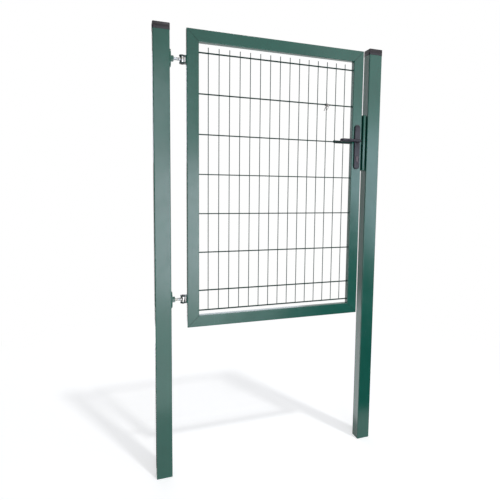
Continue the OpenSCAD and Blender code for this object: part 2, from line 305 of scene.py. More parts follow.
def rawShape(name, points, faces=()):
    mesh = bpy.data.meshes.new(name)
    mesh.from_pydata(points, [], faces)
    return plainObject(name, mesh)


def fromBmesh(name, bm, place=None):
    if place is not None:
        bm.transform(place)
    bmesh.ops.recalc_face_normals(bm, faces=bm.faces)
    if bm.calc_volume(signed=True) < 0:
        bmesh.ops.reverse_faces(bm, faces=bm.faces)
    mesh = bpy.data.meshes.new(name)
    bm.to_mesh(mesh)
    bm.free()
    return plainObject(name, mesh)


def turnedInto(name, source):  # the evaluated shape as a plain mesh, and the source removed
    bpy.context.view_layer.update()
    depsgraph = bpy.context.evaluated_depsgraph_get()
    mesh = bpy.data.meshes.new_from_object(source.evaluated_get(depsgraph), depsgraph=depsgraph)
    mesh.name = name
    bpy.data.objects.remove(source)
    return plainObject(name, mesh)


def coat(piece, finish):
    piece.data.materials.clear()
    piece.data.materials.append(finish)


def settle(piece, body, finish=greenPaint, stands=(), sharp=38):
    coat(piece, finish)
    piece.data.polygons.foreach_set("material_index", [0] * len(piece.data.polygons))
    piece.data.shade_smooth()
    piece.data.set_sharp_from_angle(angle=math.radians(sharp))
    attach(piece, body)
    if stands:
        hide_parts(*stands)


def placed(xAxis, yAxis, origin):  # a frame whose third axis is x cross y
    turn = Matrix((xAxis, yAxis, xAxis.cross(yAxis))).transposed().to_4x4()
    return Matrix.Translation(origin) @ turn


def centreOf(node):
    low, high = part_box(node)
    return (low + high) / 2


def leftOf(node):  # the middle of a node's left face
    return Vector((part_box(node)[0].x, *centreOf(node).yz))


def arcPoints(x, y, radius, start, end, steps):
    angles = [math.radians(start + (end - start) * i / steps) for i in range(steps + 1)]
    return [Vector((x + radius * math.cos(a), y + radius * math.sin(a))) for a in angles]


def circleLoop(radius, steps=48):
    return arcPoints(0, 0, radius, 0, 360 - 360 / steps, steps - 1)


def stadiumLoop(width, height, steps=20):
    rise = (height - width) / 2
    return arcPoints(0, rise, width / 2, 0, 180, steps) + arcPoints(0, -rise, width / 2, 180, 360, steps)


def boxLoop(width, depth, radius, steps=6):
    x, y = width / 2 - radius, depth / 2 - radius
    corners = ((x, y, 0), (-x, y, 90), (-x, -y, 180), (x, -y, 270))
    return [p for cx, cy, start in corners for p in arcPoints(cx, cy, radius, start, start + 90, steps)]


def insetLoop(loop, inset):  # moves a loop into the material on its left
    moved = []
    for i, point in enumerate(loop):
        first = (point - loop[i - 1]).normalized()
        second = (loop[(i + 1) % len(loop)] - point).normalized()
        normal = Vector((-first.y - second.y, first.x + second.x)).normalized()
        reach = max(0.5, normal.dot(Vector((-first.y, first.x))))
        moved.append(point + normal * (inset / reach))
    return moved


def mirrored(profile):  # half of a profile, and the same on the other side of 0
    return profile + [(across, -height) for across, height in reversed(profile)]


def ringAngles(sides):
    return [2 * math.pi * i / sides for i in range(sides)]


def hexReach(flat, angle):  # from the centre to a six-sided outline
    return flat / math.cos((angle + math.pi / 6) % (math.pi / 3) - math.pi / 6)


def joinRings(bm, rings, ends="capped"):  # ends: capped, joined or open
    for lower, upper in zip(rings, rings[1:] + (rings[:1] if ends == "joined" else [])):
        for i in range(len(lower)):
            j = (i + 1) % len(lower)
            bm.faces.new((lower[i], lower[j], upper[j], upper[i]))
    if ends == "capped":
        bm.faces.new(rings[0][::-1])
        bm.faces.new(rings[-1])


def plateSolid(loops, profile):  # profile: pairs of inset and height, from back to front
    bm = bmesh.new()
    ends = ([], [])
    for loop in loops:
        rings = [[bm.verts.new((p.x, p.y, height)) for p in insetLoop(loop, inset)]
                 for inset, height in profile]
        joinRings(bm, rings, "open")
        for edges, ring in ((ends[0], rings[0]), (ends[1], rings[-1])):
            edges.extend(bm.edges.get((ring[i - 1], ring[i])) for i in range(len(ring)))
    for edges in ends:
        bmesh.ops.triangle_fill(bm, use_beauty=True, edges=edges)
    return bm


def quarterRound(edge, top, steps):  # pairs of inset and height, up to the top
    turns = [math.pi / 2 * i / steps for i in range(steps + 1)]
    return [(edge * (1 - math.cos(a)), top - edge * (1 - math.sin(a))) for a in turns]


def roundedFront(thickness, edge, steps=4, backEdge=0.3 * mm):
    return [(backEdge, 0.0), (0.0, backEdge)] + quarterRound(edge, thickness, steps)


def ringAt(bm, centre, side, up, radius, sides):
    return [bm.verts.new(centre + (side * math.cos(a) + up * math.sin(a)) * radius) for a in ringAngles(sides)]


def turned(bm, profile, origin, axis, sides=32, ends="capped"):  # profile: pairs of radius and height
    side = axis.orthogonal().normalized()
    up = axis.cross(side)
    joinRings(bm, [ringAt(bm, origin + axis * height, side, up, radius, sides) for radius, height in profile],
              ends)


def sweep(bm, path, radii, sides):
    last = len(path) - 1
    tangents = [(path[min(i + 1, last)] - path[max(i - 1, 0)]).normalized() for i in range(len(path))]
    side = tangents[0].orthogonal().normalized()
    rings = []
    for point, tangent, radius in zip(path, tangents, radii):
        side = (side - tangent * side.dot(tangent)).normalized()
        rings.append(ringAt(bm, point, side, tangent.cross(side), radius, sides))
    joinRings(bm, rings)


def folded(outline, low, high):  # a bent sheet with straight sides
    bm = bmesh.new()
    joinRings(bm, [[bm.verts.new((*p, z)) for p in outline] for z in (low, high)])
    return bm


def softened(piece, width):  # small rounded edges, made part of the mesh
    name = piece.name
    piece.name = name + "_blank"
    bevel = piece.modifiers.new("softEdges", "BEVEL")
    bevel.width = width
    bevel.segments = 2
    bevel.limit_method = "ANGLE"
    bevel.angle_limit = math.radians(60)
    return turnedInto(name, piece)


# shapes by Geometry Nodes
def shapeTree(name, labels):  # labels: the names of the inputs of each kind
    tree = bpy.data.node_groups.new(name, "GeometryNodeTree")
    tree.interface.new_socket("Geometry", in_out="OUTPUT", socket_type="NodeSocketGeometry")
    for kind, names in {"Geometry": ["Geometry"], "Material": ["Finish"], **labels}.items():
        for label in names:
            tree.interface.new_socket(label, in_out="INPUT", socket_type="NodeSocket" + kind)
    recipe = Recipe(tree)
    inputs = recipe.add("NodeGroupInput").socket.node.outputs
    return recipe, {socket.name: Value(recipe, socket) for socket in inputs if socket.name}


def realised(recipe, shape):
    return recipe.add("GeometryNodeRealizeInstances", {"Geometry": shape})


def joined(recipe, *shapes):
    return recipe.add("GeometryNodeJoinGeometry", {0: list(shapes)})


def endTree(recipe, shape, finish):
    dressed = recipe.add("GeometryNodeSetMaterial", {"Geometry": realised(recipe, shape), "Material": finish})
    recipe.add("NodeGroupOutput", {"Geometry": dressed})
    return recipe


def runTree(recipe, name, finish, sizes, source=None):
    sizes = {"Finish": finish, **sizes}
    source = source or rawShape(name + "_seed", [])
    modifier = source.modifiers.new("shape", "NODES")
    modifier.node_group = recipe.tree
    for item in recipe.tree.interface.items_tree:
        if item.in_out == "INPUT" and item.name in sizes:
            modifier[item.identifier] = sizes[item.name]
    return turnedInto(name, source)


def curveObject(name, lines, closed=False):
    curve = bpy.data.curves.new(name, "CURVE")
    curve.dimensions = "3D"
    for line in lines:
        spline = curve.splines.new("POLY")
        spline.points.add(len(line) - 1)
        for point, co in zip(spline.points, line):
            point.co = (*co, 1.0)
        spline.use_cyclic_u = closed
    return plainObject(name, curve)


def tube(recipe, curve, radius, sides):
    ring = recipe.add("GeometryNodeCurvePrimitiveCircle", {"Resolution": sides, "Radius": radius})
    return recipe.add("GeometryNodeCurveToMesh", {"Curve": curve, "Profile Curve": ring, "Fill Caps": True})


def rod(recipe, end, radius, sides):
    return tube(recipe, recipe.add("GeometryNodeCurvePrimitiveLine", {"End": end}), radius, sides)


def copies(recipe, points, shape, **settings):
    return recipe.add("GeometryNodeInstanceOnPoints", {"Points": points, "Instance": shape, **settings})


def pointRow(recipe, count, start, step):
    return recipe.add("GeometryNodeMeshLine", {"Count": count, "Start Location": start, "Offset": step})


# camera
cameraLook = {
    "place": (-0.16855, -2.11332, 1.49940),
    "yaw": 18.695,
    "pitch": 4.911,
    "roll": 0.734,
    "lens": 29.782,
    "shift": (-0.0320, -0.0494),
}


def makeCamera(look=cameraLook):
    yaw, pitch, roll = (math.radians(look[k]) for k in ("yaw", "pitch", "roll"))
    turn = (Matrix.Rotation(-yaw, 4, "Z") @ Matrix.Rotation(math.pi / 2 - pitch, 4, "X")
            @ Matrix.Rotation(roll, 4, "Z"))
    camera = plainObject("camera", bpy.data.cameras.new("camera"))
    camera.matrix_world = Matrix.Translation(look["place"]) @ turn
    camera.data.lens = look["lens"]
    camera.data.sensor_width = 36
    camera.data.shift_x, camera.data.shift_y = look["shift"]
    camera.data.clip_start, camera.data.clip_end = 0.05, 200
    bpy.context.scene.camera = camera


makeCamera()


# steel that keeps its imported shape
plainSteel = {
    "hinge_post": greenPaint, "lock_post": greenPaint, "hinge_stile": greenPaint, "lock_stile": greenPaint,
    "top_rail": greenPaint, "bottom_rail": greenPaint, "lock_case": zincSheet, "latch_bolt": zincPlate,
    "lever_spindle": zincPlate,
}
for node, finish in plainSteel.items():
    coat(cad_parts[node], finish)
print("tubes painted")


# post caps
capSizes = {
    "skirt": 28 * mm, "wall": 1.0 * mm, "rim": 0.4 * mm, "rimInside": 0.3 * mm, "ledge": 8 * mm,
    "corner": 5 * mm, "leastCorner": 0.6 * mm, "crownEdge": 2.2 * mm, "edgeSteps": 5,
    "lineDepth": 0.45 * mm, "lineHalf": 0.3 * mm, "lineSlope": 0.5 * mm, "lineBelowTop": 6.2 * mm,
    "dome": 0.7 * mm, "domeRise": ((5 * mm, 0.45), (11 * mm, 0.1), (17 * mm, 0.0)),  # way in, share left to rise
}


def makeCap(node, look=capSizes):
    low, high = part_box(node)
    size, middle = high - low, (low + high) / 2
    top, edge, dome, wall, rim = size.z, look["crownEdge"], look["dome"], look["wall"], look["rim"]
    line, half, slope = top - look["lineBelowTop"], look["lineHalf"], look["lineHalf"] + look["lineSlope"]
    inside = [(wall + look["ledge"], look["skirt"]), (wall, look["skirt"]), (wall, rim),
              (wall - look["rimInside"], 0.0)]
    outside = [(rim, 0.0), (0.0, rim), (0.0, line - slope), (look["lineDepth"], line - half),
               (look["lineDepth"], line + half), (0.0, line + slope)]
    outside += quarterRound(edge, top - dome, look["edgeSteps"])
    outside += [(edge + inward, top - dome * left) for inward, left in look["domeRise"]]
    bm = bmesh.new()
    rings = []
    for inset, height in inside + outside:
        corner = max(look["corner"] - inset, look["leastCorner"])
        loop = boxLoop(size.x - 2 * inset, size.y - 2 * inset, corner)
        rings.append([bm.verts.new((p.x, p.y, height)) for p in loop])
    joinRings(bm, rings)
    piece = fromBmesh(node + "_moulded", bm, Matrix.Translation((middle.x, middle.y, low.z)))
    settle(piece, "posts", capPlastic, [node], sharp=50)


for node in ("hinge_post_cap", "lock_post_cap"):
    makeCap(node)
print("caps made")


# welded mesh
meshSizes = {
    "pitch": 55 * mm, "rowPitch": 200 * mm, "shortRow": 105 * mm, "upright": 4 * mm, "level": 5 * mm,
    "stub": 28 * mm, "sideGap": 28 * mm, "weldSink": 0.5 * mm, "nugget": 2.9 * mm, "endWeld": 4.2 * mm,
    "nuggetShape": (0.9, 1.9, 0.9), "endShape": (0.55, 0.9, 0.9), "sides": 12,
}


def meshTree():  # level wires in pairs, in front of and behind a row of uprights
    recipe, given = shapeTree("weldedMesh", {
        "Int": ["Sides", "Upright count", "Level count"],
        "Float": ["Upright radius", "Level radius", "Nugget", "End weld"],
        "Vector": ["First upright", "Upright step", "Upright rise", "Top level", "Level step", "Last level",
                   "Level run", "Pair start", "Pair step"]})
    upright = rod(recipe, given["Upright rise"], given["Upright radius"], given["Sides"])
    level = rod(recipe, given["Level run"], given["Level radius"], given["Sides"])
    uprightRow = pointRow(recipe, given["Upright count"], given["First upright"], given["Upright step"])
    levelRow = pointRow(recipe, given["Level count"], given["Top level"], given["Level step"])
    levels = joined(recipe, levelRow, pointRow(recipe, 1, given["Last level"], (0, 0, 0)))
    pairRow = pointRow(recipe, 2, given["Pair start"], given["Pair step"])
    # where wires cross: the uprights' row, moved back to the levels' own points
    along = recipe.add("ShaderNodeSeparateXYZ", {0: given["First upright"]})
    start = recipe.add("ShaderNodeSeparateXYZ", {0: given["Top level"]})
    first = recipe.add("ShaderNodeCombineXYZ", {"X": along.output("X") - start.output("X")})
    crossRow = pointRow(recipe, given["Upright count"], first, given["Upright step"])
    crossings = realised(recipe, copies(recipe, levels, crossRow))
    nugget = recipe.add("GeometryNodeMeshIcoSphere", {"Radius": given["Nugget"], "Subdivisions": 2})
    endRow = pointRow(recipe, 2, (0, 0, 0), given["Level run"])
    ends = realised(recipe, copies(recipe, levels, realised(recipe, copies(recipe, pairRow, endRow))))
    endWeld = recipe.add("GeometryNodeMeshIcoSphere", {"Radius": given["End weld"], "Subdivisions": 3})
    shape = joined(
        recipe, copies(recipe, uprightRow, upright), copies(recipe, levels, copies(recipe, pairRow, level)),
        copies(recipe, crossings, nugget, Scale=meshSizes["nuggetShape"]),
        copies(recipe, ends, endWeld, Scale=meshSizes["endShape"]))
    return endTree(recipe, shape, given["Finish"])


def makeMesh(look=meshSizes):
    low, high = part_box("mesh_panel")
    half = look["level"] / 2
    width, middleY = high.x - low.x, (low.y + high.y) / 2
    apart = (look["upright"] + look["level"]) / 2 - look["weldSink"]
    count = math.floor((width - 2 * look["sideGap"]) / look["pitch"] + 1e-6) + 1  # 1e-6: a whole pitch counts
    firstX = low.x + (width - (count - 1) * look["pitch"]) / 2
    topZ, lastZ = high.z - look["stub"], low.z + half
    levels = round((topZ - lastZ - look["shortRow"]) / look["rowPitch"]) + 1
    piece = runTree(meshTree(), "mesh_panel_round_wires", wireCoat, {
        "Upright radius": look["upright"] / 2, "Level radius": half, "Sides": look["sides"],
        "First upright": (firstX, middleY, low.z), "Upright step": (look["pitch"], 0, 0),
        "Upright count": count, "Upright rise": (0, 0, high.z - low.z),
        "Top level": (low.x, middleY, topZ), "Level step": (0, 0, -look["rowPitch"]),
        "Level count": levels, "Last level": (low.x, middleY, lastZ), "Level run": (width, 0, 0),
        "Pair start": (0, -apart, 0), "Pair step": (0, 2 * apart, 0),
        "Nugget": look["nugget"], "End weld": look["endWeld"]})
    settle(piece, "leaf", wireCoat, ["mesh_panel"])
    return firstX, topZ


firstUprightX, topLevelZ = makeMesh()
print("mesh made")


# hinges
hingeSizes = {
    "plateEdge": 1.6 * mm, "plateSlip": 0.2 * mm,
    "nutFlats": 27 * mm, "nutSlip": 0.1 * mm, "nutChamfer": 0.8 * mm,
    "rod": 16 * mm, "pitch": 2.0 * mm, "threadDepth": 0.75 * mm, "rodIntoEye": 1.5 * mm,
    "eyeEdge": 1.4 * mm, "eyeSlip": 0.08 * mm, "boreEdge": 0.6 * mm,
    "neck": ((-0.2 * mm, -6 * mm), (0.9 * mm, -2.0 * mm), (1.8 * mm, 0.6 * mm), (1.0 * mm, 3.2 * mm)),
    "sheet": 5 * mm, "tipRadius": 7 * mm, "bend": 5 * mm, "insideBend": 1.2 * mm, "bracketEdge": 0.5 * mm,
    "pin": 12 * mm, "pinHead": 18 * mm, "pinHeadHeight": 3 * mm, "pinHeadEdge": 1.0 * mm,
    "pinDome": ((1.0, 0.62), (0.93, 0.34), (0.76, 0.14), (0.45, 0.0)),  # shares of the head, from its rim inwards
}


def makeHingePlate(name, look=hingeSizes):
    low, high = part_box(name)
    size = high - low
    hole = circleLoop(look["rod"] / 2 + look["plateSlip"], 40)[::-1]
    bm = plateSolid([stadiumLoop(size.y, size.z), hole], roundedFront(size.x, look["plateEdge"]))
    piece = fromBmesh(name + "_rounded", bm, placed(axisY, axisZ, leftOf(name)))
    settle(piece, "posts", stands=[name])


def makeNut(name, look=hingeSizes, sides=48):
    low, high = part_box(name)
    half, chamfer = (high.x - low.x) / 2, look["nutChamfer"]
    bore, flat = look["rod"] / 2 + look["nutSlip"], look["nutFlats"] / 2 * 0.95
    columns = []
    for a in ringAngles(sides):
        corner = hexReach(look["nutFlats"] / 2, a)
        drop = (corner - flat) * math.tan(math.radians(30))
        lower = [(bore, chamfer - half), (bore + chamfer, -half), (flat, -half), (corner, drop - half)]
        columns.append([(radius * math.cos(a), radius * math.sin(a), z + half) for radius, z in mirrored(lower)])
    bm = bmesh.new()
    joinRings(bm, [[bm.verts.new(point) for point in ring] for ring in zip(*columns)], "joined")
    piece = fromBmesh(name + "_chamfered", bm, placed(axisY, axisZ, leftOf(name)))
    settle(piece, "posts", stands=[name], sharp=24)


def threadTree():  # one ridge wound round a core, along Z
    recipe, given = shapeTree("screwThread", {"Float": ["Core", "Pitch", "Length", "Ridge"]})
    spiral = recipe.add("GeometryNodeCurveSpiral", {
        "Resolution": 24, "Rotations": given["Length"] / given["Pitch"], "Start Radius": given["Core"],
        "End Radius": given["Core"], "Height": given["Length"]})
    upright = recipe.add("GeometryNodeSetCurveNormal", {0: spiral}, {"mode": "Z_UP"})
    top = recipe.add("ShaderNodeCombineXYZ", {"Z": given["Length"]})
    core = rod(recipe, top, given["Core"], 32)
    return endTree(recipe, joined(recipe, tube(recipe, upright, given["Ridge"], 4), core), given["Finish"])


screwThread = threadTree()


def makeEyeBolt(name, look=hingeSizes):
    low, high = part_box(name)
    radius, height = (high.y - low.y) / 2, high.z - low.z
    middle = Vector((high.x - radius, (low.y + high.y) / 2, (low.z + high.z) / 2))
    threaded = runTree(screwThread, name + "_rod", zincPlate, {
        "Core": look["rod"] / 2 - look["threadDepth"], "Pitch": look["pitch"],
        "Length": middle.x - radius + look["rodIntoEye"] - low.x, "Ridge": look["threadDepth"] * 0.98})
    threaded.data.transform(placed(axisY, axisZ, leftOf(name)))
    bm = bmesh.new()
    bm.from_mesh(threaded.data)
    bpy.data.objects.remove(threaded)
    edge, bore, boreEdge, half = look["eyeEdge"], look["pin"] / 2 + look["eyeSlip"], look["boreEdge"], height / 2
    eye = [(bore, -half + boreEdge), (bore + boreEdge, -half), (radius - edge, -half),
           (radius - edge * 0.3, -half + edge * 0.3), (radius, -half + edge)]
    turned(bm, mirrored(eye), middle, axisZ, 48, "joined")
    neck = [(look["rod"] / 2 + wider, along) for wider, along in look["neck"]]  # plain, welded to the eye
    turned(bm, neck, middle - axisX * radius, axisX)
    settle(fromBmesh(name + "_threaded", bm), "posts", zincPlate, [name])


def makeBracket(name, look=hingeSizes):
    low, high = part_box(name)
    size, sheet, bend, inner = high - low, look["sheet"], look["bend"], look["insideBend"]
    right, half = size.x, size.z / 2
    outside = arcPoints(right - bend, -half + bend, bend, -90, 0, 6)
    inside = arcPoints(right - sheet - inner, half - sheet - inner, inner, 90, 0, 3)
    outline = mirrored([(0, -half), *outside]) + mirrored([(0, half - sheet), *inside])
    bm = folded(outline, -size.y / 2, size.y / 2)
    tips = [e for e in bm.edges  # across the sheet, at the free ends
            if all(v.co.x < 1e-6 for v in e.verts) and abs(e.verts[0].co.y - e.verts[1].co.y) > 1 * mm]
    bmesh.ops.bevel(bm, geom=tips, offset=look["tipRadius"], segments=5, profile=0.5, affect="EDGES")
    piece = softened(fromBmesh(name + "_bent", bm, placed(axisX, axisZ, leftOf(name))), look["bracketEdge"])
    # painted shade: the bracket takes the darker copy of the green paint
    settle(piece, "leaf", finish=deepPaint, stands=[name])


def makePin(name, look=hingeSizes):
    low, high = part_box(name)
    half, edge = (high.z - low.z) / 2, look["pinHeadEdge"]
    shaft, head, rise = look["pin"] / 2, look["pinHead"] / 2, look["pinHeadHeight"]
    profile = [(head * 0.55, -half), (head - edge, -half), (head, -half + edge), (head, -half + rise),
               (shaft, -half + rise), (shaft, half - rise), (head, half - rise)]
    profile += [(head * wide, half - rise * below) for wide, below in look["pinDome"]]
    bm = bmesh.new()
    turned(bm, profile, centreOf(name), axisZ, 40)
    settle(fromBmesh(name + "_headed", bm), "leaf", darkPlating, [name])


for level in ("upper", "lower"):
    makeHingePlate(level + "_hinge_plate")
    makeNut(level + "_hinge_nut")
    makeEyeBolt(level + "_eye_bolt")
    makeBracket(level + "_hinge_bracket")
    makePin(level + "_hinge_pin")
print("hinges made")


# welds: radius, share that it swells and shrinks, pitch of the swells
weldSizes = {
    "plate": (2.6 * mm, 0.38, 9.0 * mm), "bracket": (2.2 * mm, 0.15, 3.0 * mm),
    "keeper": (1.7 * mm, 0.15, 3.0 * mm), "mitre": (1.5 * mm, 0.06, 3.0 * mm),
}
beadStep, beadSink, cornerGap = 0.6 * mm, 0.2 * mm, 1 * mm


def beadTree():
    recipe, given = shapeTree("weldBead", {"Float": ["Radius", "Ripple", "Ripple pitch"]})
    fine = recipe.add("GeometryNodeResampleCurve", {"Curve": given["Geometry"], "Length": beadStep},
                      {"mode": "LENGTH"})
    along = recipe.add("GeometryNodeSplineParameter", out=1)
    wave = recipe.maths("SINE", along / given["Ripple pitch"] * (2 * math.pi))
    swell = recipe.add("GeometryNodeSetCurveRadius", {"Curve": fine, "Radius": wave * given["Ripple"] + 1.0})
    return endTree(recipe, tube(recipe, swell, given["Radius"], 10), given["Finish"])


weldBead = beadTree()


def makeBead(name, body, lines, weld, closed=False, finish=greenPaint):
    radius, ripple, pitch = weldSizes[weld]
    piece = runTree(weldBead, name, finish, {"Radius": radius, "Ripple": ripple, "Ripple pitch": pitch},
                    curveObject(name + "_path", lines, closed))
    settle(piece, body, finish=finish, sharp=60)


def weldHinges():
    aroundPlates, onStile = [], []
    for level in ("upper", "lower"):
        low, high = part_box(level + "_hinge_plate")
        edge = leftOf(level + "_hinge_plate") + axisX * beadSink
        aroundPlates.append([edge + Vector((0, *p)) for p in stadiumLoop(high.y - low.y, high.z - low.z)])
        low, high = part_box(level + "_hinge_bracket")
        x, foot, top = high.x - 0.4 * mm, low.z + cornerGap, high.z - cornerGap
        onStile += [[Vector((x, y, foot)), Vector((x, y, top))] for y in (low.y, high.y)]
        x, near, far = high.x - 1.2 * mm, low.y + cornerGap, high.y - cornerGap
        onStile += [[Vector((x, near, z)), Vector((x, far, z))] for z in (low.z + 0.6 * mm, high.z - 0.6 * mm)]
    makeBead("hinge_plate_welds", "posts", aroundPlates, "plate", closed=True)
    makeBead("hinge_bracket_welds", "leaf", onStile, "bracket")


mitreSizes = {"sink": 1.1 * mm, "fromCorner": 3.0 * mm, "toCorner": 0.5 * mm}


def weldMitres(look=mitreSizes):  # dressed flush, with a faint line left that is darkened as painted shade
    low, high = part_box("hinge_stile")
    ends = (look["fromCorner"], high.x - low.x - look["toCorner"])
    lines = []
    for y in (low.y + look["sink"], high.y - look["sink"]):
        for x, inward in ((low.x, 1), (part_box("lock_stile")[1].x, -1)):
            for z, rise in ((low.z, 1), (high.z, -1)):
                lines.append([Vector((x + inward * end, y, z + rise * end)) for end in ends])
    # the mitre lines take the darker copy of the paint, as painted shade
    makeBead("mitre_welds", "leaf", lines, "mitre", finish=deepPaint)


weldHinges()
weldMitres()
print("welds made")


# keeper
keeperSizes = {
    "sheet": 3 * mm, "bend": 4 * mm, "edge": 0.35 * mm,
    "slotDepth": 20 * mm, "slotHeight": 28 * mm, "slotCorner": 3 * mm,
    "weld": 30 * mm, "weldInset": 6 * mm, "seamInset": 10 * mm,
}


def angleOutline(low, high, look=keeperSizes):  # an angle with its corner at high and one round end
    sheet, bend = look["sheet"], look["bend"]
    outline = [Vector((high.x - sheet, low.y)), Vector((high.x, low.y))]
    outline += arcPoints(high.x - bend, high.y - bend, bend, 0, 90, 8)
    outline += arcPoints(low.x + sheet / 2, high.y - sheet / 2, sheet / 2, 90, 270, 6)
    return outline + arcPoints(high.x - bend, high.y - bend, bend - sheet, 90, 0, 4)


def makeKeeperBack(look=keeperSizes):
    low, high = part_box("keeper_back")
    piece = fromBmesh("keeper_back_folded", folded(angleOutline(low, high), low.z, high.z))
    settle(softened(piece, look["edge"]), "posts", stands=["keeper_back"])
    weld, inset = look["weld"], look["weldInset"]
    foot = Vector((high.x - beadSink, low.y, 0))
    starts = (low.z + inset, (low.z + high.z - weld) / 2, high.z - inset - weld)
    welds = [[foot + axisZ * z, foot + axisZ * (z + weld)] for z in starts]
    makeBead("keeper_welds", "posts", welds, "keeper")


def makeStrikePlate(look=keeperSizes):
    low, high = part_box("strike_plate")
    sheet = look["sheet"]
    outline = [(low + high).xy - point for point in angleOutline(low, high)]  # turned half round
    blank = fromBmesh("strike_blank", folded(outline, low.z, high.z))
    slot = boxLoop(look["slotDepth"], look["slotHeight"], look["slotCorner"])
    middle = Vector((low.x + sheet / 2, 0.0, centreOf("latch_bolt").z))
    cutter = fromBmesh("slot_cutter", plateSolid([slot], [(0, -sheet), (0, sheet)]), placed(axisY, axisZ, middle))
    cut = blank.modifiers.new("slot", "BOOLEAN")
    cut.operation = "DIFFERENCE"
    cut.solver = "EXACT"
    cut.object = cutter
    piece = turnedInto("strike_plate_folded", blank)
    bpy.data.objects.remove(cutter)
    settle(softened(piece, look["edge"]), "posts", stands=["strike_plate"])
    seam = [Vector((low.x + sheet + 0.3 * mm, high.y - 0.4 * mm, z))
            for z in (low.z + look["seamInset"], high.z - look["seamInset"])]
    makeBead("strike_plate_weld", "posts", [seam], "keeper")


makeKeeperBack()
makeStrikePlate()
print("keeper made")


# lock
lockSizes = {
    "plateEdge": 2.4 * mm, "collar": 21 * mm, "turnGap": 0.4 * mm, "slipGap": 0.2 * mm,
    "plug": 17 * mm, "plugBody": 10 * mm, "plugHeight": 33 * mm, "plugEdge": 0.4 * mm,
    "keyway": (1.5 * mm, 8.4 * mm), "keywayCorner": 0.6 * mm,
    "barrel": ((5.6 * mm, -10 * mm), (5.8 * mm, 0.0), (5.6 * mm, 10 * mm)),
    "rimSink": 0.35 * mm, "rim": ((6.1 * mm, 0.0), (6.35 * mm, 0.3 * mm), (6.9 * mm, 0.3 * mm), (7.15 * mm, 0.0)),
    "lever": 17 * mm, "bend": 11 * mm, "leverTip": 120 * mm, "leverRoot": 2 * mm, "leverRise": 4 * mm,
    "collarLip": 3 * mm, "collarEdge": 1.2 * mm, "collarRound": 0.35 * mm,
}
axle = centreOf("lever_spindle")
plugLow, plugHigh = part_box("lock_cylinder")
plugPlace = Vector(((plugLow.x + plugHigh.x) / 2, 0.0, plugHigh.z - lockSizes["plug"] / 2))


def plugLoop(grow, look=lockSizes):  # a round plug with a narrower body below it
    radius, half = look["plug"] / 2 + grow, look["plugBody"] / 2 + grow
    drop = look["plugHeight"] - (look["plug"] + look["plugBody"]) / 2
    turn = math.degrees(math.asin(half / radius))
    return arcPoints(0, 0, radius, -90 + turn, 270 - turn, 32) + arcPoints(0, -drop, half, 180, 360, 12)


def makeHandlePlate(name, facing, look=lockSizes):  # facing: -1 to the front, 1 to the back
    low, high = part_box(name)
    size, middle = high - low, (low + high) / 2
    loops = [stadiumLoop(size.x, size.z, 24)]
    for loop, z in ((circleLoop(look["collar"] / 2 + look["turnGap"]), axle.z),
                    (plugLoop(look["slipGap"]), plugPlace.z)):
        loops.append([p + Vector((0, z - middle.z)) for p in loop[::-1]])
    bm = plateSolid(loops, roundedFront(size.y, look["plateEdge"], 5))
    place = placed(axisX * -facing, axisZ, Vector((middle.x, low.y if facing > 0 else high.y, middle.z)))
    settle(fromBmesh(name + "_rounded", bm, place), "leaf", handleCoat, [name])


def makeLever(name, facing, look=lockSizes):
    low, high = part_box(name)
    out = facing * axisY
    face = -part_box("front_handle_plate")[0].y           # outer face of either plate
    inside, outside = sorted((abs(low.y), abs(high.y)))
    radius, bend = look["lever"] / 2, look["bend"]
    reach, tip = outside - radius, look["leverTip"] - radius
    centre = Vector((axle.x, 0, axle.z))

    def at(x, y):
        return centre + axisX * x + out * y

    path = [at(0, face - look["leverRoot"]), at(0, face + look["leverRise"])]
    for x, start in ((-bend, 0), (bend - tip, 90)):
        path += [at(*p) for p in arcPoints(x, reach - bend, bend, start, start + 90, 12)]
    radii = [radius] * len(path)
    end = path[-1]
    for i in range(1, 9):                               # round end
        a = math.pi / 2 * i / 8
        path.append(end - out * radius * math.sin(a))
        radii.append(max(radius * math.cos(a), 0.02 * radius))
    bm = bmesh.new()
    sweep(bm, path, radii, 32)
    wide, lip, edge, ease = look["collar"] / 2, face + look["collarLip"], look["collarEdge"], look["collarRound"]
    collar = [(wide - 1 * mm, inside), (wide, inside + 1 * mm), (wide, lip - edge), (wide - ease, lip - ease),
              (wide - edge, lip), (radius - 0.5 * mm, lip + 0.8 * mm)]
    turned(bm, collar, centre, out, 48)
    settle(fromBmesh(name + "_swept", bm), "handle", handleCoat, [name])


def makeCylinder(look=lockSizes):
    slot = boxLoop(*look["keyway"], look["keywayCorner"], 3)
    half, edge = (plugHigh.y - plugLow.y) / 2, look["plugEdge"]
    bm = plateSolid([plugLoop(0.0), slot[::-1]], mirrored([(edge, -half), (0, -half + edge)]))
    bm.transform(placed(axisX, axisZ, plugPlace))
    turned(bm, look["barrel"], plugPlace, axisY, 24)
    settle(fromBmesh("lock_cylinder_keyed", bm), "leaf", darkPlating, ["lock_cylinder"])
    # the plug's own rim, a hair proud, on both faces
    bm = bmesh.new()
    for side in (-1, 1):
        rim = [(radius, half - look["rimSink"] + rise) for radius, rise in look["rim"]]
        turned(bm, rim, plugPlace, axisY * side, 48, "joined")
    settle(fromBmesh("cylinder_plug_rims", bm), "leaf", darkPlating)


for name, facing in (("front_handle_plate", -1), ("back_handle_plate", 1)):
    makeHandlePlate(name, facing)
for name, facing in (("front_lever", -1), ("back_lever", 1)):
    makeLever(name, facing)
makeCylinder()


# screws
screwSizes = {
    "head": 7.4 * mm, "rise": 2.2 * mm, "socket": 1.7 * mm, "root": 0.3 * mm, "socketFloor": 0.1 * mm,
    "dome": ((0.50, 0.25), (0.46, 0.62), (0.38, 0.9), (0.30, 1.0)),  # shares of the head's width and rise
    "plateInset": 15 * mm, "forendHead": 7.0 * mm, "forendRise": 0.45 * mm, "forendInset": 9 * mm,
}


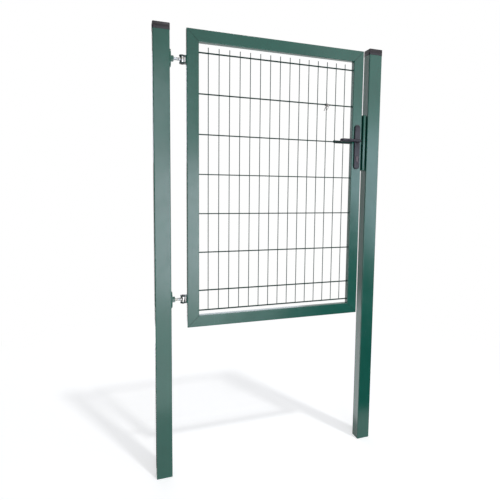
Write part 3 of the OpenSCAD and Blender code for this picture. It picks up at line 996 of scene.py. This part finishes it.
def screwHead(name, head, rise, look=screwSizes, sides=24):  # low head with a six-sided socket, facing +Z
    bm = bmesh.new()
    outside = [(head / 2, -look["root"])] + [(head * wide, rise * high) for wide, high in look["dome"]]
    rings = [ringAt(bm, axisZ * z, axisX, axisY, radius, sides) for radius, z in outside]
    flat = look["socket"] * math.cos(math.pi / 6)
    for z in (rise, min(look["socketFloor"], rise * 0.2)):
        rings.append([bm.verts.new((hexReach(flat, a) * math.cos(a), hexReach(flat, a) * math.sin(a), z))
                      for a in ringAngles(sides)])
    joinRings(bm, rings)
    return fromBmesh(name, bm)


def screwTree():
    recipe, given = shapeTree("screwRow", {"Object": ["Screw"], "Vector": ["Turn"]})
    screw = recipe.add("GeometryNodeObjectInfo", {"Object": given["Screw"]}).output("Geometry")
    row = copies(recipe, given["Geometry"], screw, Rotation=given["Turn"])
    return endTree(recipe, row, given["Finish"])


screwRow = screwTree()


def makeScrews(name, spots, turn, head, rise):
    screw = screwHead(name + "_one", head, rise)
    piece = runTree(screwRow, name, zincPlate, {"Screw": screw, "Turn": turn}, rawShape(name + "_spots", spots))
    bpy.data.objects.remove(screw)
    settle(piece, "leaf", zincPlate, sharp=40)


def addScrews(look=screwSizes):
    low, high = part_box("back_handle_plate")
    spots = [((low.x + high.x) / 2, high.y, z) for z in (low.z + look["plateInset"], high.z - look["plateInset"])]
    makeScrews("back_plate_screws", spots, (-math.pi / 2, 0, 0), look["head"], look["rise"])
    low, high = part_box("lock_case")
    spots = [(high.x, 0, z) for z in (low.z + look["forendInset"], high.z - look["forendInset"])]
    makeScrews("forend_screws", spots, (0, math.pi / 2, 0), look["forendHead"], look["forendRise"])


deadBoltSizes = {"face": (9 * mm, 30 * mm), "corner": 0.8 * mm, "thickness": 1.4 * mm, "edge": 0.4 * mm,
                 "sunk": 1.0 * mm, "drop": 12 * mm}


def makeDeadBolt(look=deadBoltSizes):  # drawn back, its face just proud of the forend
    face = boxLoop(*look["face"], look["corner"])
    bm = plateSolid([face], roundedFront(look["thickness"], look["edge"], 3))
    height = (axle.z + plugPlace.z) / 2 - look["drop"]
    place = placed(axisY, axisZ, Vector((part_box("lock_case")[1].x - look["sunk"], 0, height)))
    settle(fromBmesh("dead_bolt_face", bm, place), "leaf", zincPlate)


addScrews()
makeDeadBolt()
print("lock made")


# tie on the mesh
tieSizes = {
    "upright": 12, "drop": 1.5 * mm,  # which crossing, and how far below it
    "wire": 3.0 * mm, "endWire": 0.85, "sides": 10,
    "wrap": 10 * mm, "wrapTurns": 1.15, "wrapLean": 1.2 * mm, "wrapSteps": 40,
    "twist": 9.0, "twistSteps": 28, "strand": 3.2 * mm, "tail": 30 * mm, "endSteps": 20,
}


def makeTie(look=tieSizes):  # soft wire wrapped crosswise round a crossing and twisted off
    middle = Vector((firstUprightX + look["upright"] * meshSizes["pitch"], centreOf("mesh_panel").y,
                     topLevelZ - meshSizes["rowPitch"] - look["drop"]))
    radius, wrap, tail = look["wire"] / 2, look["wrap"], look["tail"]
    bm = bmesh.new()

    def bend(steps, spot, start=(0, 0, 0), share=look["endWire"]):  # one wire; spot gives a place for 0 to 1
        path = [middle + Vector(start) + Vector(spot(i / steps)) for i in range(steps + 1)]
        sweep(bm, path, [radius * share] * len(path), look["sides"])

    for lean in (-1, 1):                                # two wraps, each across one diagonal
        along, turn = Vector((lean, 0, 0.9)).normalized(), 2 * math.pi * look["wrapTurns"]
        bend(look["wrapSteps"], lambda t: along * wrap * math.cos(turn * t) + Vector(
            (0, wrap * 0.9 * math.sin(turn * t), lean * look["wrapLean"] * t)), share=1.0)
    for side in (0, math.pi):                           # a twisted pair to one side
        bend(look["twistSteps"], lambda t: (
            look["strand"] / 2 * math.cos(look["twist"] * t + side) - 17 * mm * t,
            look["strand"] / 2 * math.sin(look["twist"] * t + side) - 3 * mm * math.sin(2 * t),
            -tail * t ** 1.25), (-2 * mm, -9 * mm, -4 * mm))
    # a bent end down along the upright, and a short loop
    bend(look["endSteps"], lambda t: (
        5 * mm * math.sin(5.5 * t), -1.5 * mm * math.sin(3 * t), -tail * 1.15 * t), (1 * mm, -9 * mm, -5 * mm))
    bend(look["endSteps"], lambda t: (
        8 * mm * math.sin(math.pi * t), -2 * mm * math.sin(math.pi * t), -11 * mm * t), (4 * mm, -9 * mm, 0))
    settle(fromBmesh("mesh_wire_tie", bm), "leaf", annealedWire)


makeTie()
print("tie made")


# floor and light
studio = {
    "toKey": (0.22, -0.42, 0.88), "keyStrength": 0.85, "keyAngle": 3.6, "ambient": 0.32,
    "floorTone": 0.72, "floorGlow": 0.505, "floorNear": 1.7, "floorFar": 3.0, "floorHalf": 60,
    "cardTone": (0.02, 0.02, 0.022, 1), "cardLight": (0.96, 0.98, 1.0, 1),
}
# place, aim, width, height, radiance, tint
softboxes = {
    "frontSoftbox": ((1.00, -3.6, 0.95), (0, 1, 0), 2.2, 1.90, 4.3, (0.93, 0.96, 1.06)),
    "leftSoftbox": ((0.00, -3.6, 2.50), (0, 1, 0), 1.0, 1.10, 2.4, (0.93, 0.96, 1.06)),
    "rightSoftbox": ((3.70, -3.6, 1.45), (0, 1, 0), 2.2, 2.00, 3.1, (0.82, 0.95, 1.12)),
    "backSoftbox": ((0.55, 4.4, 2.70), (0, -1, 0), 4.3, 1.6, 2.0, (0.90, 0.96, 1.10)),
}


def lying(height, *corners):  # the corners of a card on the floor
    return [(x, y, height) for x, y in corners]


def standing(y, left, right, foot, top):  # the corners of a card parallel to the gate
    return [(left, y, foot), (right, y, foot), (right, y, top), (left, y, top)]


# cards that only reflections see: brightness and corners
cards = {
    "lowDarkCard": (0.0, lying(0.003, (1.05, -0.30), (2.40, -0.30), (3.10, -2.10), (1.45, -2.10))),
    "uprightDarkCard": (0.0, [(1.45, -2.10, 0.003), (2.95, -2.10, 0.003), (2.57, -2.10, 0.70),
                              (2.29, -2.10, 1.30), (2.20, -2.10, 1.42), (1.80, -2.10, 1.42)]),
    "sideDarkCard": (0.0, [(-0.95, -4.30, 0.01), (-0.95, 1.20, 0.01), (-0.95, 1.20, 4.50), (-0.95, -4.30, 4.50)]),
    "edgeDarkCard": (0.0, standing(2.50, -0.33, -0.05, 0.01, 3.60)),
    "edgeFloorCard": (0.0, lying(0.003, (-0.20, 0.06), (-0.045, 0.06), (-0.045, 1.75), (-0.20, 2.00))),
    "leftFloorCard": (2.2, lying(0.002, (-0.35, -3.30), (0.42, -3.30), (0.30, -0.70), (-0.35, -0.70))),
    "frontFloorCard": (3.2, lying(0.002, (0.45, -3.55), (1.05, -3.55), (0.90, -2.30), (0.42, -2.30))),
    "backFloorCard": (2.4, lying(0.002, (-1.10, 0.10), (1.05, 0.10), (0.30, 3.20), (-1.10, 3.20))),
    "backLeftCard": (1.6, standing(4.38, -2.60, -1.28, 0.01, 4.30)),
    "topRightCard": (1.7, standing(-3.60, 2.40, 4.80, 2.50, 4.20)),
}


def seenShare(recipe):  # 1 for camera, glossy and transmission rays
    path = recipe.add("ShaderNodeLightPath")
    seen = [path.output(name) for name in ("Is Camera Ray", "Is Glossy Ray", "Is Transmission Ray")]
    return recipe.maths("MINIMUM", seen[0] + seen[1] + seen[2], 1.0)


def makeWorld(look=studio):
    world = bpy.data.worlds.new("studio")
    world.use_nodes = True
    bpy.context.scene.world = world
    world.node_tree.nodes.clear()
    recipe = Recipe(world.node_tree)
    soft, white = [recipe.add("ShaderNodeBackground", {"Color": (1, 1, 1, 1), "Strength": strength})
                   for strength in (look["ambient"], 1.0)]
    both = recipe.add("ShaderNodeMixShader", {0: seenShare(recipe), 1: soft, 2: white})
    recipe.add("ShaderNodeOutputWorld", {"Surface": both})


def flatShape(name, corners):
    return rawShape(name, corners, [tuple(range(len(corners)))])


def makeFloor(look=studio):  # white paper that keeps the shadow and fades to plain white far out
    half = look["floorHalf"]
    floor = flatShape("floor", lying(0, (-half, -half), (half, -half), (half, half), (-half, half)))
    floor.location.z = -0.2 * mm
    material = newMaterial("floorPaper", {})
    material.node_tree.nodes.clear()
    recipe = Recipe(material.node_tree)
    tone = look["floorTone"]
    matt = recipe.add("ShaderNodeBsdfDiffuse", {"Color": (tone, tone, tone, 1)})
    glow, white = [recipe.add("ShaderNodeEmission", {"Color": (1, 1, 1, 1), "Strength": strength})
                   for strength in (look["floorGlow"], 1.0)]
    lit = recipe.add("ShaderNodeAddShader", {0: matt, 1: glow})
    spot = recipe.add("ShaderNodeTexCoord", out=3)
    middle = (cadLow + cadHigh) / 2
    reach = recipe.add("ShaderNodeVectorMath", {0: spot, 1: (middle.x, middle.y, 0)},
                       {"operation": "DISTANCE"}).output("Value")
    far = recipe.ease(reach, look["floorNear"], look["floorFar"])
    shown = recipe.add("ShaderNodeMixShader", {0: far, 1: lit, 2: white})
    both = recipe.add("ShaderNodeMixShader", {0: seenShare(recipe), 1: matt, 2: shown})
    recipe.add("ShaderNodeOutputMaterial", {"Surface": both})
    floor.data.materials.append(material)


def makeCard(name, brightness, corners, look=studio):
    card = flatShape(name, corners)
    card.data.materials.append(newMaterial(name + "Cloth", {
        "Base Color": look["cardTone"], "Specular IOR Level": 0.0, "Emission Color": look["cardLight"],
        "Emission Strength": brightness}))
    card.visible_camera = card.visible_diffuse = card.visible_transmission = card.visible_shadow = False


def addLamp(name, kind, place, aim, power, settings):
    lamp = bpy.data.lights.new(name, kind)
    lamp.energy = power
    for key, value in settings.items():
        setattr(lamp, key, value)
    made = plainObject(name, lamp)
    made.location = place
    made.rotation_mode = "QUATERNION"
    made.rotation_quaternion = Vector(aim).to_track_quat("-Z", "Y")
    made.visible_camera = False


def lightStudio(look=studio):
    toKey = Vector(look["toKey"])
    addLamp("keyLight", "SUN", toKey * 6, -toKey, look["keyStrength"], {"angle": math.radians(look["keyAngle"])})
    for name, (place, aim, wide, high, radiance, tint) in softboxes.items():
        addLamp(name, "AREA", place, aim, math.pi * wide * high * radiance,
                {"shape": "RECTANGLE", "size": wide, "size_y": high, "color": tint})
    for name, (brightness, corners) in cards.items():
        makeCard(name, brightness, corners)


makeWorld()
makeFloor()
lightStudio()
bpy.context.scene.view_settings.view_transform = "Standard"
print("studio made")
